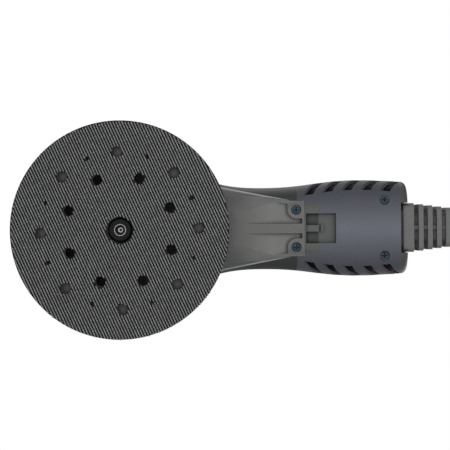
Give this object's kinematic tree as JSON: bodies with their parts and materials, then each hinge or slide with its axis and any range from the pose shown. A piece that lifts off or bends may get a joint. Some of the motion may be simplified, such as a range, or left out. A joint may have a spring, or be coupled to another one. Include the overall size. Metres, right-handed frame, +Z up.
{
  "type": "orbital sander",
  "caption": "Corded random-orbit sander with a round hook-and-loop dust-extraction pad, slim handle with paddle lever, and ribbed cable boot.",
  "frame": {"origin": "where the motor spindle axis meets the plane of the pad face, the pad resting on the ground", "axes": "+Z up along the motor spindle, +X from the motor towards the end of the handle, +Y to the left of the handle"},
  "size_m": [0.5305, 0.1438, 0.0965],
  "materials": {
    "hook_nylon": "hook-and-loop nylon",
    "pad_foam": "closed-cell foam skin",
    "pad_plate": "glass-filled nylon",
    "zinc_steel": "zinc plated",
    "black_steel": "black oxide",
    "bright_steel": "ground steel",
    "spring_steel": "oiled spring steel",
    "cast_alloy": "die cast",
    "lamination": "stacked laminations",
    "black_plastic": "fine texture",
    "grey_plastic": "fine spark texture",
    "black_rubber": "moulded rubber",
    "grip_rubber": "soft overmould",
    "copper": "enamelled wire",
    "circuit_board": "solder mask",
    "lens": "clear",
    "brass": "nickelled brass"
  },
  "bodies": {
    "housing": {"base_screws": "zinc_steel", "board_capacitors": "black_plastic", "board_heatsink": "cast_alloy", "brake_seal": "black_rubber", "button_board": "circuit_board", "button_panel": "black_plastic", "cable_boot": "black_rubber", "cable_clamp": "black_plastic", "clamp_screws": "zinc_steel", "coil_tie": "black_plastic", "control_board": "circuit_board", "cord_coil": "black_rubber", "cord_tube": "black_rubber", "head_cap": "grip_rubber", "head_housing": "grey_plastic", "lever_pin": "bright_steel", "lever_spring": "spring_steel", "lever_switch": "black_plastic", "lower_bearing": "bright_steel", "lower_grip": "grip_rubber", "lower_shell": "grey_plastic", "motor_base": "cast_alloy", "motor_leads": "black_rubber", "neck_cover": "grey_plastic", "neck_screws": "zinc_steel", "plug_body": "black_rubber", "plug_pins": "brass", "sensor_board": "circuit_board", "shell_screws": "black_steel", "shroud": "grey_plastic", "stator_core": "lamination", "stator_windings": "copper", "status_lens": "lens", "supply_cable": "black_rubber", "terminal_block": "black_plastic", "upper_bearing": "bright_steel", "upper_grip": "grip_rubber", "upper_shell": "grey_plastic"},
    "rotor": {"motor_shaft": "bright_steel", "rotor_core": "lamination", "rotor_magnets": "lamination", "cooling_fan": "black_plastic", "eccentric_hub": "cast_alloy", "counterweight": "bright_steel", "bearing_circlip": "spring_steel", "orbit_bearing": "bright_steel"},
    "pad": {"hook_face": "hook_nylon", "pad_foam": "pad_foam", "pad_plate": "pad_plate", "pad_washer": "zinc_steel", "pad_screw": "black_steel", "pad_spindle": "bright_steel"},
    "lever": {"paddle_lever": "black_plastic"},
    "power_key": {"power_button": "grip_rubber"},
    "speed_up_key": {"speed_up_button": "grip_rubber"},
    "speed_down_key": {"speed_down_button": "grip_rubber"}
  },
  "joints": [
    {"name": "spindle_spin", "type": "hinge", "parent": "housing", "child": "rotor", "pos_m": [0, 0, 0.05], "axis": [0, 0, 1], "continuous": true},
    {"name": "pad_spin", "type": "hinge", "parent": "rotor", "child": "pad", "pos_m": [-0.0025, 0, 0], "axis": [0, 0, 1], "continuous": true},
    {"name": "lever_press", "type": "hinge", "parent": "housing", "child": "lever", "pos_m": [0.076, 0, 0.0826], "axis": [0, 1, 0], "range_deg": [0, 3.8], "stiffness_Nm_per_rad": 3, "springref_deg": -8.59},
    {"name": "power_press", "type": "slide", "parent": "housing", "child": "power_key", "axis": [0, 0, -1], "range_m": [0, 0.0008], "stiffness_N_per_m": 400},
    {"name": "speed_up_press", "type": "slide", "parent": "housing", "child": "speed_up_key", "axis": [0, 0, -1], "range_m": [0, 0.0008], "stiffness_N_per_m": 400},
    {"name": "speed_down_press", "type": "slide", "parent": "housing", "child": "speed_down_key", "axis": [0, 0, -1], "range_m": [0, 0.0008], "stiffness_N_per_m": 400}
  ]
}
